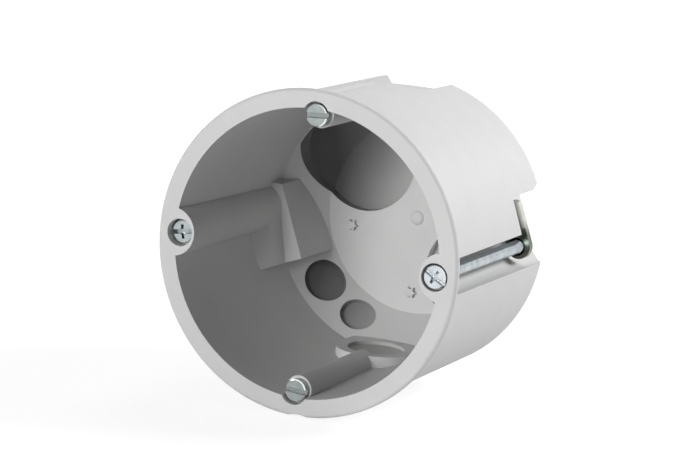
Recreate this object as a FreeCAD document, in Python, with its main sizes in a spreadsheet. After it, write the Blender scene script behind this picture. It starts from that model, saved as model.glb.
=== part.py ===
import FreeCAD, Part
import math
import os
import Sketcher

# Round back box for a hollow wall. Lengths are in millimetres and angles in degrees.
# The origin is the centre of the front plane, +Y runs into the box and +Z runs up to the
# upper device screw. The box looks the same after half a turn about the Y axis.

SIZES = {
    # Flange and outer form
    "screw_spacing": 60.0,
    "flange_margin": 5.5,
    "flange_thickness": 1.1,
    "flange_round": 0.8,
    "flange_overhang": 1.6,
    "neck_length": 3.1,
    "shell_draft": 0.3,
    "back_height": 9.2,
    "back_edge_round": 2.8,
    "back_inset": 7.1,
    "total_depth": 62.0,
    # Cavity
    "front_wall": 2.5,
    "inner_draft": 1.2,
    "wall_foot_height": 14.8,
    "floor_inset": 7.9,
    "floor_thickness": 4.0,
    # Shallow moulded groove along the top and bottom, and the gate mark in the flange
    "groove_offset": 1.35,
    "groove_round": 5.3,
    "groove_lift": 4.8,
    "gate_lift": 4.7,
    # Columns that take the device screws
    "column_radius": 3.0,
    "column_stop": 2.5,
    "column_end": 6.0,
    "device_head_gap": 0.48,
    # Joining place for a neighbouring box, at the top and bottom
    "recess_wall": 1.1,
    "recess_sink": 3.2,
    "pad_radius": 9.2,
    "pad_height": 20.5,
    "pad_rise": 2.5,
    "pad_pocket_radius": 6.5,
    "pad_pocket_shift": 0.2,
    "pad_pocket_depth": 0.8,
    # Claw screw channels
    "claw_screw_inset": 3.6,
    "channel_shift": 1.8,
    "channel_radius": 4.25,
    "lobe_radius": 5.35,
    "head_pocket_depth": 3.1,
    "claw_head_gap": 0.42,
    "seat_web": 1.2,
    # Claw housings
    "claw_angle": 21.4,
    "shelf_height": 20.0,
    "shelf_wall": 1.6,
    "housing_room": 7.1,
    "housing_wall": 1.3,
    "housing_draft": 0.8,
    "housing_side": 2.25,
    "housing_skirt": 5.8,
    "ramp_angle": 10.5,
    "ramp_step": 3.4,
    "ramp_rise": 3.9,
    "ramp_length": 8.0,
    "claw_bay_side": 0.2,
    "bay_lip_slope": 7.0,
    "bay_corner_inset": 3.45,
    "bay_flare_length": 12.8,
    "bay_flare_slope": 0.34,
    # Conduit knock-outs
    "conduit_radius": 12.4,
    "conduit_height": 14.4,
    "left_conduit_angle": 139.2,
    "left_conduit_inset": 11.84,
    "right_conduit_angle": -35.9,
    "right_conduit_inset": 10.94,
    "web_inset": 1.3,
    "web_shift": 0.5,
    "web_fall": 15.4,
    "web_spread": 13.2,
    "web_thickness": 1.4,
    # Cable knock-outs
    "cable_height": 5.0,
    "wide_cable_angle": 138.6,
    "wide_cable_radius": 5.05,
    "narrow_cable_angle": 113.9,
    "narrow_cable_radius": 4.2,
    "cable_pocket_depth": 1.2,
    # Marks on the floor
    "nub_radius": 1.65,
    "nub_height": 0.6,
    "star_radius": 1.4,
    "star_notch_radius": 0.8,
    "star_height": 1.0,
    "side_star_offset": 15.9,
    "side_star_rise": 4.1,
    "lower_star_offset": 0.2,
    "lower_star_rise": 17.4,
    # Device screws
    "upper_screw_set_back": 0.1,
    "lower_screw_set_back": 0.6,
    "device_head_radius": 2.52,
    "device_head_height": 2.0,
    "device_shank_radius": 1.5,
    "device_shank_length": 20.0,
    "device_slot_width": 1.2,
    "device_slot_depth": 1.0,
    "upper_slot_angle": -4.4,
    "lower_slot_angle": 3.0,
    "head_bevel": 0.2,
    # Claw screws
    "claw_head_radius": 2.6,
    "claw_head_height": 1.7,
    "claw_shank_radius": 1.5,
    "claw_slot_width": 1.0,
    "claw_slot_depth": 0.9,
    "cross_width": 0.9,
    "cross_length": 3.4,
    "cross_depth": 1.1,
    "right_screw_backed_off": 1.3,
    "right_slot_angle": 30.0,
    "left_slot_angle": -9.0,
    "screw_tip": 2.9,
    "thread_gap": 0.06,
    # Claws
    "claw_width": 5.6,
    "claw_shift": 0.4,
    "claw_reach": 10.3,
    "claw_thickness": 1.7,
    "claw_corner_round": 1.7,
    "claw_room": 1.1,
    "collar_radius": 2.25,
    "collar_length": 0.9,
    "bore_funnel": 0.45,
}

# Values that follow from the ones above
DERIVED = {
    "device_offset": "=screw_spacing / 2",
    "flange_radius": "=device_offset + flange_margin",
    "neck_radius": "=flange_radius - flange_overhang",
    "neck_end": "=flange_thickness + neck_length",
    "shell_radius": "=neck_radius - shell_draft",
    "shell_depth": "=total_depth - back_height",
    "back_radius": "=shell_radius - back_inset",
    "beyond_back": "=total_depth + 2",
    "beyond_side": "=flange_radius + 5",
    "mouth_radius": "=neck_radius - front_wall",
    "wall_foot_radius": "=mouth_radius - inner_draft",
    "wall_foot_depth": "=total_depth - wall_foot_height",
    "floor_radius": "=wall_foot_radius - floor_inset",
    "floor_depth": "=total_depth - floor_thickness",
    "groove_distance": "=neck_radius + groove_lift",
    "gate_distance": "=flange_radius + gate_lift",
    "recess_radius": "=pad_radius - recess_wall",
    "recess_level": "=shell_radius - recess_sink",
    "pad_centre": "=total_depth - pad_height",
    "pad_level": "=wall_foot_radius - pad_rise",
    "pad_run": "=beyond_back - pad_centre",
    "pad_pocket_centre": "=pad_centre - pad_pocket_shift",
    "column_depth": "=pad_centre - column_stop",
    "device_bore_end": "=column_depth - column_end",
    "device_bore_radius": "=device_shank_radius + thread_gap",
    "device_notch_radius": "=device_head_radius + device_head_gap",
    "device_head_face": "=device_head_radius - head_bevel",
    "device_head_seat": "=lower_screw_set_back + device_head_height",
    "device_shank_end": "=device_head_height + device_shank_length",
    "groove_length": "=pad_centre - neck_end",
    "claw_screw_offset": "=neck_radius - claw_screw_inset",
    "claw_hole_radius": "=claw_shank_radius + thread_gap",
    "claw_pocket_radius": "=claw_head_radius + claw_head_gap",
    "claw_head_face": "=claw_head_radius - head_bevel",
    "channel_offset": "=claw_screw_offset + channel_shift",
    "channel_start": "=head_pocket_depth + seat_web",
    "channel_length": "=beyond_back - channel_start",
    "shelf_depth": "=total_depth - shelf_height",
    "housing_distance": "=claw_screw_offset - housing_room",
    "housing_foot_distance": "=housing_distance - housing_draft",
    "ramp_depth": "=shelf_depth - ramp_length",
    "ramp_foot": "=housing_distance + ramp_step",
    "ramp_top": "=ramp_foot + ramp_rise",
    "ramp_round": "=(ramp_rise^2 + ramp_length^2) / (2 * ramp_rise)",
    "skirt_length": "=beyond_back - ramp_depth",
    "side_limit_height": "=beyond_side + housing_side",
    "skirt_height": "=beyond_side + housing_skirt",
    "claw_bay_distance": "=housing_distance + housing_wall",
    "claw_bay_depth": "=shelf_depth + shelf_wall",
    "bay_lip_depth": "=claw_bay_depth - bay_lip_slope",
    "bay_corner": "=neck_radius - bay_corner_inset",
    "bay_mouth_distance": "=neck_radius + bay_corner_inset / 2",
    "bay_mouth_depth": "=bay_lip_depth - bay_lip_slope / 2",
    "bay_screw_drop": "=claw_screw_offset * sin(claw_angle)",
    "bay_round": "=claw_screw_offset * cos(claw_angle) - claw_bay_distance",
    "bay_length": "=beyond_back - claw_bay_depth",
    "bay_flare_depth": "=total_depth - bay_flare_length",
    "bay_flare_side": "=claw_bay_side + (beyond_back - bay_flare_depth) * bay_flare_slope",
    "left_conduit_distance": "=wall_foot_radius - left_conduit_inset",
    "right_conduit_distance": "=wall_foot_radius - right_conduit_inset",
    "conduit_front": "=total_depth - conduit_height",
    "conduit_length": "=beyond_back - conduit_front",
    "web_depth": "=total_depth - web_inset",
    "web_radius": "=floor_radius + web_shift",
    "web_rim_depth": "=web_depth - web_fall",
    "web_rim_radius": "=web_radius + web_spread",
    "web_slope": "=web_spread / web_fall",
    "skin_depth": "=web_depth + web_thickness",
    "skin_rim_depth": "=web_rim_depth + web_thickness * sqrt(1 + web_slope^2) / web_slope",
    "skin_radius": "=web_rim_radius - (skin_depth - skin_rim_depth) * web_slope",
    "cable_depth": "=floor_depth - cable_height",
    "left_screw_depth": "=head_pocket_depth - claw_head_height",
    "right_screw_depth": "=left_screw_depth - right_screw_backed_off",
    "claw_face_depth": "=claw_bay_depth + claw_room",
    "claw_shank_end": "=claw_face_depth + screw_tip - right_screw_depth",
    "claw_half_width": "=claw_width / 2",
    "claw_tip_flat": "=claw_reach - claw_corner_round",
    "claw_rest_angle": "=90 + claw_angle",
}

Y_AXIS = FreeCAD.Vector(0, 1, 0)
Z_AXIS = FreeCAD.Vector(0, 0, 1)
ALONG_DEPTH = FreeCAD.Rotation(FreeCAD.Vector(1, 0, 0), -90)

# A new rectangle or circle has these sizes until its expressions set it
START_HALF_WIDTH = 2.0
START_HALF_HEIGHT = 1.0
START_RADIUS = 1.0

STAR_POINTS = 6

doc = FreeCAD.newDocument("BackBox")
sheet = doc.addObject("Spreadsheet::Sheet", "Sizes")
for row, (alias, content) in enumerate({**SIZES, **DERIVED}.items(), start=1):
    sheet.set("A%d" % row, alias)
    sheet.set("B%d" % row, str(content))
    sheet.setAlias("B%d" % row, alias)
doc.recompute()


def size(alias):
    """The present value of a named size, or 0 where no name is given."""
    return float(sheet.get(alias)) if alias else 0.0


def bind(feature, **expressions):
    """Bind properties of a feature to expressions of the sheet's sizes."""
    for name, expression in expressions.items():
        feature.setExpression(name, expression)


def place(feature, x=None, y=None, z=None):
    """Bind the place of a feature, each coordinate an expression or left at 0."""
    for axis, expression in (("x", x), ("y", y), ("z", z)):
        if expression:
            feature.setExpression("Placement.Base." + axis, expression)
    return feature


def rod(name, radius, start, length, x=None, z=None):
    """A round bar along the depth of the box."""
    bar = doc.addObject("Part::Cylinder", name)
    bar.Placement = FreeCAD.Placement(FreeCAD.Vector(), ALONG_DEPTH)
    bind(bar, Radius=radius, Height=length)
    return place(bar, x, start, z)


def post(name, radius, level, y):
    """A round bar that stands on a level and points up, out of the box."""
    bar = doc.addObject("Part::Cylinder", name)
    bind(bar, Radius=radius, Height="Sizes.beyond_side")
    return place(bar, None, y, level)


def block(name, length, width, height, x=None, y=None, z=None):
    """A block along the axes, placed by its lowest corner."""
    solid = doc.addObject("Part::Box", name)
    bind(solid, Length=length, Width=width, Height=height)
    return place(solid, x, y, z)


def fuse(name, *shapes):
    joined = doc.addObject("Part::MultiFuse", name)
    joined.Shapes = list(shapes)
    return joined


def common(name, *shapes):
    shared = doc.addObject("Part::MultiCommon", name)
    shared.Shapes = list(shapes)
    return shared


def cut(name, base, tool):
    rest = doc.addObject("Part::Cut", name)
    rest.Base = base
    rest.Tool = tool
    return rest


def half_turned(name, shape):
    """A copy of a shape after half a turn about the axis of the box."""
    copy = doc.addObject("Part::Compound", name)
    copy.Links = [shape]
    copy.Placement = FreeCAD.Placement(FreeCAD.Vector(), FreeCAD.Rotation(Y_AXIS, 180))
    return copy


def pin(sketch, corner, kind, alias):
    """Hold one coordinate of a corner at a named size, or on the axis where none is named."""
    if alias is None:
        axis = -2 if kind == "DistanceX" else -1
        sketch.addConstraint(Sketcher.Constraint("PointOnObject", corner, 1, axis))
        return
    index = sketch.addConstraint(Sketcher.Constraint(kind, -1, 1, corner, 1, size(alias)))
    label = "%s_%d" % (alias, corner)
    sketch.renameConstraint(index, label)
    sketch.setExpression("Constraints." + label, "Sizes." + alias)


def arc_edge(start, end, radius):
    """An arc from start to end whose centre lies to the left of the way along it."""
    half = (end - start) * 0.5
    rise = math.sqrt(max(radius ** 2 - half.Length ** 2, 0.0))
    left = FreeCAD.Vector(-half.y, half.x, 0).normalize()
    centre = start + half + left * rise
    return Part.Arc(start, centre - left * radius, end)


def outline(sketch, corners, arcs=None):
    """Draw a closed outline through corners that are named sizes.

    Each corner is a pair of aliases, with None for a coordinate on an axis. arcs gives the
    alias of a radius for the edges, by the number of their first corner, that are bent.
    """
    arcs = arcs or {}
    points = [FreeCAD.Vector(size(x), size(y), 0) for x, y in corners]
    ends = points[1:] + points[:1]
    for number, (start, end) in enumerate(zip(points, ends)):
        if number in arcs:
            sketch.addGeometry(arc_edge(start, end, size(arcs[number])), False)
        else:
            sketch.addGeometry(Part.LineSegment(start, end), False)
    for number in range(len(points)):
        following = (number + 1) % len(points)
        sketch.addConstraint(Sketcher.Constraint("Coincident", number, 2, following, 1))
    for number, (x, y) in enumerate(corners):
        pin(sketch, number, "DistanceX", x)
        pin(sketch, number, "DistanceY", y)
    for number, alias in arcs.items():
        index = sketch.addConstraint(Sketcher.Constraint("Radius", number, size(alias)))
        label = "%s_%d" % (alias, number)
        sketch.renameConstraint(index, label)
        sketch.setExpression("Constraints." + label, "Sizes." + alias)


def profile(name, corners, arcs=None, angle=None):
    """A free sketch in the plane of the radius and the depth, turned up by an angle."""
    sketch = doc.addObject("Sketcher::SketchObject", name)
    if angle:
        sketch.Placement = FreeCAD.Placement(FreeCAD.Vector(), FreeCAD.Rotation(Y_AXIS, -1))
        sketch.setExpression("Placement.Rotation.Angle", angle)
    outline(sketch, corners, arcs)
    return sketch


def turned(name, corners):
    """A solid of revolution about the axis of the box."""
    solid = doc.addObject("Part::Revolution", name)
    solid.Source = profile(name + "_profile", corners)
    solid.Axis = Y_AXIS
    solid.Angle = 360
    solid.Solid = True
    return solid


def extruded(name, sketch, forward, backward):
    """A solid swept both ways from the plane of a sketch."""
    solid = doc.addObject("Part::Extrusion", name)
    solid.Base = sketch
    solid.DirMode = "Normal"
    solid.Solid = True
    bind(solid, LengthFwd=forward, LengthRev=backward)
    return solid


def new_body(name):
    body = doc.addObject("PartDesign::Body", name)
    body.Label = name
    return body


def body_sketch(body, name, role):
    """A sketch on one of the body's own origin planes."""
    sketch = body.newObject("Sketcher::SketchObject", name)
    plane = next(item for item in body.Origin.OriginFeatures if item.Role == role)
    sketch.AttachmentSupport = (plane, "")
    sketch.MapMode = "FlatFace"
    return sketch


def revolved(body, name, corners):
    """Revolve an outline of a body about its Y axis."""
    sketch = body_sketch(body, name + "_profile", "XY_Plane")
    outline(sketch, corners)
    feature = body.newObject("PartDesign::Revolution", name)
    feature.Profile = sketch
    feature.ReferenceAxis = (sketch, ["V_Axis"])
    feature.Angle = 360
    return feature


def dress_edges(body, kind, name, amount, wanted):
    """Round or bevel the edges of a body's last feature that a test picks."""
    doc.recompute()
    base = body.Tip
    picked = ["Edge%d" % (i + 1) for i, edge in enumerate(base.Shape.Edges) if wanted(edge)]
    feature = body.newObject("PartDesign::" + kind, name)
    feature.Base = (base, picked)
    feature.setExpression("Radius" if kind == "Fillet" else "Size", amount)
    return feature


def is_ring(radius, depth):
    """A test for the circle of a radius about the Y axis at a depth."""
    def test(edge):
        curve = edge.Curve
        if not isinstance(curve, Part.Circle):
            return False
        level = abs(curve.Center.y - depth) < 0.01
        return level and abs(curve.Radius - radius) < 0.01
    return test


def rectangle(sketch, half_width, half_height):
    """A rectangle about the origin of a sketch, its half sizes bound to expressions."""
    wide, high = START_HALF_WIDTH, START_HALF_HEIGHT
    corners = [(-wide, -high), (wide, -high), (wide, high), (-wide, high)]
    points = [FreeCAD.Vector(x, y, 0) for x, y in corners]
    for start, end in zip(points, points[1:] + points[:1]):
        sketch.addGeometry(Part.LineSegment(start, end), False)
    for number in range(len(points)):
        following = (number + 1) % len(points)
        sketch.addConstraint(Sketcher.Constraint("Coincident", number, 2, following, 1))
    for number, kind in enumerate(("Horizontal", "Vertical", "Horizontal", "Vertical")):
        sketch.addConstraint(Sketcher.Constraint(kind, number))
    sketch.addConstraint(Sketcher.Constraint("Symmetric", 0, 1, 1, 2, -1, 1))
    width = sketch.addConstraint(Sketcher.Constraint("DistanceX", 0, 1, 0, 2, 2 * wide))
    height = sketch.addConstraint(Sketcher.Constraint("DistanceY", 1, 1, 1, 2, 2 * high))
    sketch.setExpression("Constraints[%d]" % width, "2 * (%s)" % half_width)
    sketch.setExpression("Constraints[%d]" % height, "2 * (%s)" % half_height)


def pocket(body, name, depth, half_width, half_height):
    """Sink a rectangular slot into the front face of a screw head."""
    sketch = body_sketch(body, name + "_outline", "XZ_Plane")
    rectangle(sketch, half_width, half_height)
    feature = body.newObject("PartDesign::Pocket", name)
    feature.Profile = sketch
    feature.Type = "Length"
    feature.setExpression("Length", depth)
    return feature


# Outer form: flange, neck that fits the wall cut-out, slightly tapered shell, back cone
outer_form = new_body("outer_form")
revolved(outer_form, "outer_turning", [
    (None, None), ("flange_radius", None), ("flange_radius", "flange_thickness"),
    ("neck_radius", "flange_thickness"), ("neck_radius", "neck_end"),
    ("shell_radius", "shell_depth"), ("back_radius", "total_depth"), (None, "total_depth"),
])
dress_edges(outer_form, "Fillet", "flange_rounding", "Sizes.flange_round",
            is_ring(size("flange_radius"), 0.0))
dress_edges(outer_form, "Fillet", "back_rounding", "Sizes.back_edge_round",
            is_ring(size("shell_radius"), size("shell_depth")))

# Cavity before anything stands in it
cavity = turned("cavity", [
    (None, None), ("mouth_radius", None), ("wall_foot_radius", "wall_foot_depth"),
    ("floor_radius", "floor_depth"), (None, "floor_depth"),
])

# Lobe about a claw screw, and the housing of its claw with the ramp in front
lobe = rod("lobe", "Sizes.lobe_radius", None, "Sizes.shelf_depth", x="Sizes.channel_offset")
housing_profile = profile("housing_profile", [
    ("housing_distance", "shelf_depth"), ("beyond_side", "shelf_depth"),
    ("beyond_side", "beyond_back"), ("housing_foot_distance", "beyond_back"),
], angle="-Sizes.claw_angle")
housing_block = extruded("housing_block", housing_profile, "Sizes.beyond_side",
                         "Sizes.beyond_side")
ramp_profile = profile("ramp_profile", [
    ("ramp_top", "ramp_depth"), ("beyond_side", "ramp_depth"),
    ("beyond_side", "shelf_depth"), ("ramp_foot", "shelf_depth"),
], arcs={3: "ramp_round"}, angle="-Sizes.ramp_angle")
ramp = extruded("ramp", ramp_profile, "Sizes.beyond_side",
                "Sizes.channel_offset * sin(Sizes.ramp_angle)")
side_limit = block("side_limit", "Sizes.beyond_side", "Sizes.skirt_length",
                   "Sizes.side_limit_height",
                   x="Sizes.beyond_side * sin(Sizes.claw_angle)", y="Sizes.ramp_depth",
                   z="-Sizes.beyond_side * cos(Sizes.claw_angle)")
side_limit.Placement.Rotation = FreeCAD.Rotation(Y_AXIS, -1)
side_limit.setExpression("Placement.Rotation.Angle", "-Sizes.claw_angle")
skirt_limit = block("skirt_limit", "Sizes.beyond_side", "Sizes.skirt_length",
                    "Sizes.skirt_height", y="Sizes.ramp_depth", z="-Sizes.housing_skirt")
housing = common("housing", fuse("housing_and_ramp", housing_block, ramp), side_limit,
                 skirt_limit)
side_core = fuse("side_core", lobe, housing)

# Column of a device screw, and the pad behind it
column = rod("column", "Sizes.column_radius", None, "Sizes.column_depth",
             z="Sizes.device_offset")
pad = fuse(
    "pad",
    post("pad_nose", "Sizes.pad_radius", "Sizes.pad_level", "Sizes.pad_centre"),
    block("pad_run", "2 * Sizes.pad_radius", "Sizes.pad_run", "Sizes.beyond_side",
          x="-Sizes.pad_radius", y="Sizes.pad_centre", z="Sizes.pad_level"),
)
end_core = fuse("end_core", column, pad)

cores = fuse("cores", side_core, half_turned("side_core_left", side_core), end_core,
             half_turned("end_core_below", end_core))
room = cut("room", cavity, cores)

# Cuts at the sides: head pocket, screw hole, open channel and the bay that stows the claw
head_pocket = rod("head_pocket", "Sizes.claw_pocket_radius", "-1 mm",
                  "Sizes.head_pocket_depth + 1", x="Sizes.claw_screw_offset")
screw_hole = rod("screw_hole", "Sizes.claw_hole_radius", None, "Sizes.channel_start + 1",
                 x="Sizes.claw_screw_offset")
channel = rod("channel", "Sizes.channel_radius", "Sizes.channel_start",
              "Sizes.channel_length", x="Sizes.channel_offset")
bay_profile = profile("bay_profile", [
    ("claw_bay_distance", "claw_bay_depth"), ("bay_corner", "claw_bay_depth"),
    ("neck_radius", "bay_lip_depth"), ("bay_mouth_distance", "bay_mouth_depth"),
    ("bay_mouth_distance", "beyond_back"), ("claw_bay_distance", "beyond_back"),
], angle="-Sizes.claw_angle")
claw_bay = extruded("claw_bay", bay_profile, "Sizes.claw_bay_side", "Sizes.bay_screw_drop")
bay_end = rod("bay_end", "Sizes.bay_round", "Sizes.claw_bay_depth", "Sizes.bay_length",
              x="Sizes.claw_screw_offset")
flare_profile = profile("flare_profile", [
    ("claw_bay_side", "bay_flare_depth"), ("bay_flare_side", "beyond_back"),
    ("claw_bay_side", "beyond_back"),
], angle="-(Sizes.claw_angle + 90)")
bay_flare = extruded("bay_flare", flare_profile, "-Sizes.claw_bay_distance",
                     "Sizes.beyond_side")
side_cut = fuse("side_cut", head_pocket, screw_hole, channel, claw_bay, bay_end, bay_flare)

# Cuts at the top: screw bore, head notch, joining recess, thin disc and groove
device_bore = rod("device_bore", "Sizes.device_bore_radius", None, "Sizes.device_bore_end",
                  z="Sizes.device_offset")
head_notch = rod("head_notch", "Sizes.device_notch_radius", "-1 mm",
                 "Sizes.device_head_seat + 1", z="Sizes.device_offset")
recess = fuse(
    "recess",
    post("recess_nose", "Sizes.recess_radius", "Sizes.recess_level", "Sizes.pad_centre"),
    block("recess_run", "2 * Sizes.recess_radius", "Sizes.pad_run", "Sizes.beyond_side",
          x="-Sizes.recess_radius", y="Sizes.pad_centre", z="Sizes.recess_level"),
)
open_recess = cut("open_recess", recess, column)
thin_disc = doc.addObject("Part::Cylinder", "thin_disc")
bind(thin_disc, Radius="Sizes.pad_pocket_radius", Height="Sizes.pad_pocket_depth + 1")
place(thin_disc, y="Sizes.pad_pocket_centre", z="Sizes.pad_level - 1")
groove = rod("groove", "Sizes.groove_round", "Sizes.neck_end", "Sizes.groove_length",
             x="-Sizes.groove_offset", z="Sizes.groove_distance")
end_cut = fuse("end_cut", device_bore, head_notch, open_recess, thin_disc, groove)
gate_mark = rod("gate_mark", "Sizes.groove_round", "-1 mm", "Sizes.flange_thickness + 1",
                x="Sizes.groove_offset", z="-Sizes.gate_distance")

# Conduit knock-outs: a thin web that follows the floor and the cone
behind_web = turned("behind_web", [
    (None, "web_depth"), ("web_radius", "web_depth"), ("web_rim_radius", "web_rim_depth"),
    ("web_rim_radius", "beyond_back"), (None, "beyond_back"),
])
before_skin = turned("before_skin", [
    (None, "pad_centre"), ("web_rim_radius", "pad_centre"),
    ("web_rim_radius", "skin_rim_depth"), ("skin_radius", "skin_depth"),
    (None, "skin_depth"),
])


def conduit(side):
    """A bar through the floor where a conduit can enter, on a named side."""
    distance = "Sizes.%s_conduit_distance" % side
    angle = "(Sizes.%s_conduit_angle)" % side
    return rod(side + "_conduit", "Sizes.conduit_radius", "Sizes.conduit_front",
               "Sizes.conduit_length", x="%s * cos%s" % (distance, angle),
               z="%s * sin%s" % (distance, angle))


conduits = fuse("conduits", conduit("left"), conduit("right"))
conduit_pockets = cut("conduit_pockets", conduits, behind_web)
conduit_backs = cut("conduit_backs", conduits, before_skin)


def cable_entry(name, radius, angle):
    """Two facing blind pockets, square to the cone, that leave a thin web for a cable."""
    run = FreeCAD.Vector(size("floor_radius") - size("wall_foot_radius"),
                         size("floor_depth") - size("wall_foot_depth"), 0)
    square = FreeCAD.Vector(run.y, -run.x, 0).normalize()
    share = (size("cable_depth") - size("wall_foot_depth")) / run.y
    middle = FreeCAD.Vector(size("wall_foot_radius"), size("wall_foot_depth"), 0) + run * share
    inner = Part.makeCylinder(size(radius), size(radius) + size("cable_pocket_depth"),
                              middle - square * size(radius), square)
    web_back = middle + square * (size("cable_pocket_depth") + size("web_thickness"))
    outer = Part.makeCylinder(size(radius), size("total_depth"), web_back, square)
    entry = doc.addObject("Part::Feature", name)
    entry.Shape = Part.makeCompound([inner, outer])
    entry.Placement = FreeCAD.Placement(
        FreeCAD.Vector(), FreeCAD.Rotation(Y_AXIS, size(angle)))
    return entry


# Cable knock-outs, two below and two above
cable_pair = fuse(
    "cable_pair",
    cable_entry("wide_cable", "wide_cable_radius", "wide_cable_angle"),
    cable_entry("narrow_cable", "narrow_cable_radius", "narrow_cable_angle"),
)


def star(name, x, z):
    """A raised six-pointed mark on the floor."""
    corners = []
    for step in range(2 * STAR_POINTS):
        radius = size("star_radius") if step % 2 == 0 else size("star_notch_radius")
        turn = math.pi * step / STAR_POINTS
        corners.append(FreeCAD.Vector(radius * math.cos(turn), 0, radius * math.sin(turn)))
    face = Part.Face(Part.makePolygon(corners + corners[:1]))
    height = size("star_height")
    mark = doc.addObject("Part::Feature", name)
    mark.Shape = face.extrude(Y_AXIS * (2 * height))
    mark.Placement.Base = FreeCAD.Vector(x, size("floor_depth") - height, z)
    return mark


nub = doc.addObject("Part::Ellipsoid", "nub")
bind(nub, Radius1="Sizes.nub_radius", Radius2="Sizes.nub_radius", Radius3="Sizes.nub_height")
place(nub, y="Sizes.floor_depth")
side_star = star("side_star", -size("side_star_offset"), -size("side_star_rise"))
lower_star = star("lower_star", size("lower_star_offset"), -size("lower_star_rise"))

# The moulding
blank = cut("blank", outer_form, room)
all_cuts = fuse(
    "all_cuts", side_cut, half_turned("side_cut_left", side_cut), end_cut,
    half_turned("end_cut_below", end_cut), gate_mark, conduit_pockets, conduit_backs,
    cable_pair, half_turned("cable_pair_above", cable_pair),
)
moulding = cut("moulding", blank, all_cuts)
back_box = fuse("back_box", moulding, nub, side_star, lower_star)
back_box.Label = "back_box"


def screw_body(name, kind, slot_angle):
    """The turned form of a device or claw screw, with its straight slot."""
    body = new_body(name)
    head, height = kind + "_head_radius", kind + "_head_height"
    revolved(body, name + "_turning", [
        (None, None), (kind + "_head_face", None), (head, "head_bevel"), (head, height),
        (kind + "_shank_radius", height), (kind + "_shank_radius", kind + "_shank_end"),
        (None, kind + "_shank_end"),
    ])
    pocket(body, name + "_slot", "Sizes.%s_slot_depth" % kind, "Sizes.%s + 1" % head,
           "Sizes.%s_slot_width / 2" % kind)
    body.Placement.Rotation = FreeCAD.Rotation(Y_AXIS, 1)
    body.setExpression("Placement.Rotation.Angle", slot_angle)
    return body


def device_screw(name, side, depth, slot_angle):
    """A slotted screw that holds the device, close behind the front plane."""
    body = screw_body(name, "device", slot_angle)
    return place(body, y=depth, z=side + "Sizes.device_offset")


def claw_screw(name, side, depth, slot_angle):
    """A screw with a cross and slot, whose thread draws the claw forward."""
    body = screw_body(name, "claw", slot_angle)
    pocket(body, name + "_cross", "Sizes.cross_depth", "Sizes.cross_width / 2",
           "Sizes.cross_length / 2")
    return place(body, x=side + "Sizes.claw_screw_offset", y=depth)


def arm_outline(sketch):
    """The outline of a claw's arm: round at the ear, and with two rounded corners at the tip."""
    half, shift, corner = size("claw_half_width"), size("claw_shift"), size("claw_corner_round")
    flat, reach = size("claw_tip_flat"), size("claw_reach")
    inner, outer = half - shift, -half - shift
    ear = Part.Arc(FreeCAD.Vector(0, inner, 0), FreeCAD.Vector(-half, -shift, 0),
                   FreeCAD.Vector(0, outer, 0))
    outer_side = Part.LineSegment(FreeCAD.Vector(0, outer, 0), FreeCAD.Vector(flat, outer, 0))
    outer_corner = Part.ArcOfCircle(
        Part.Circle(FreeCAD.Vector(flat, outer + corner, 0), Z_AXIS, corner), -math.pi / 2, 0)
    tip = Part.LineSegment(FreeCAD.Vector(reach, outer + corner, 0),
                           FreeCAD.Vector(reach, inner - corner, 0))
    inner_corner = Part.ArcOfCircle(
        Part.Circle(FreeCAD.Vector(flat, inner - corner, 0), Z_AXIS, corner), 0, math.pi / 2)
    inner_side = Part.LineSegment(FreeCAD.Vector(flat, inner, 0), FreeCAD.Vector(0, inner, 0))
    for edge in (ear, outer_side, outer_corner, tip, inner_corner, inner_side):
        sketch.addGeometry(edge, False)
    for joint in (
        ("Tangent", 0, 2, 1, 1), ("Tangent", 1, 2, 2, 1), ("Tangent", 2, 2, 3, 1),
        ("Tangent", 3, 2, 4, 1), ("Tangent", 4, 2, 5, 1), ("Tangent", 5, 2, 0, 1),
        ("PointOnObject", 0, 3, -2), ("Horizontal", 1), ("Equal", 2, 4),
    ):
        sketch.addConstraint(Sketcher.Constraint(*joint))
    for label, constraint in (
        ("claw_half_width", Sketcher.Constraint("Radius", 0, half)),
        ("claw_corner_round", Sketcher.Constraint("Radius", 2, corner)),
        ("claw_reach", Sketcher.Constraint("DistanceX", -1, 1, 3, 1, reach)),
        ("claw_shift", Sketcher.Constraint("DistanceY", 0, 3, -1, 1, shift)),
    ):
        sketch.renameConstraint(sketch.addConstraint(constraint), label)
        sketch.setExpression("Constraints." + label, "Sizes." + label)


def round_sketch(body, name, radius):
    """A circle about the body's own Y axis."""
    sketch = body_sketch(body, name, "XZ_Plane")
    sketch.addGeometry(Part.Circle(FreeCAD.Vector(), Z_AXIS, START_RADIUS), False)
    sketch.addConstraint(Sketcher.Constraint("Coincident", 0, 3, -1, 1))
    index = sketch.addConstraint(Sketcher.Constraint("Radius", 0, START_RADIUS))
    sketch.setExpression("Constraints[%d]" % index, radius)
    return sketch


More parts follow.
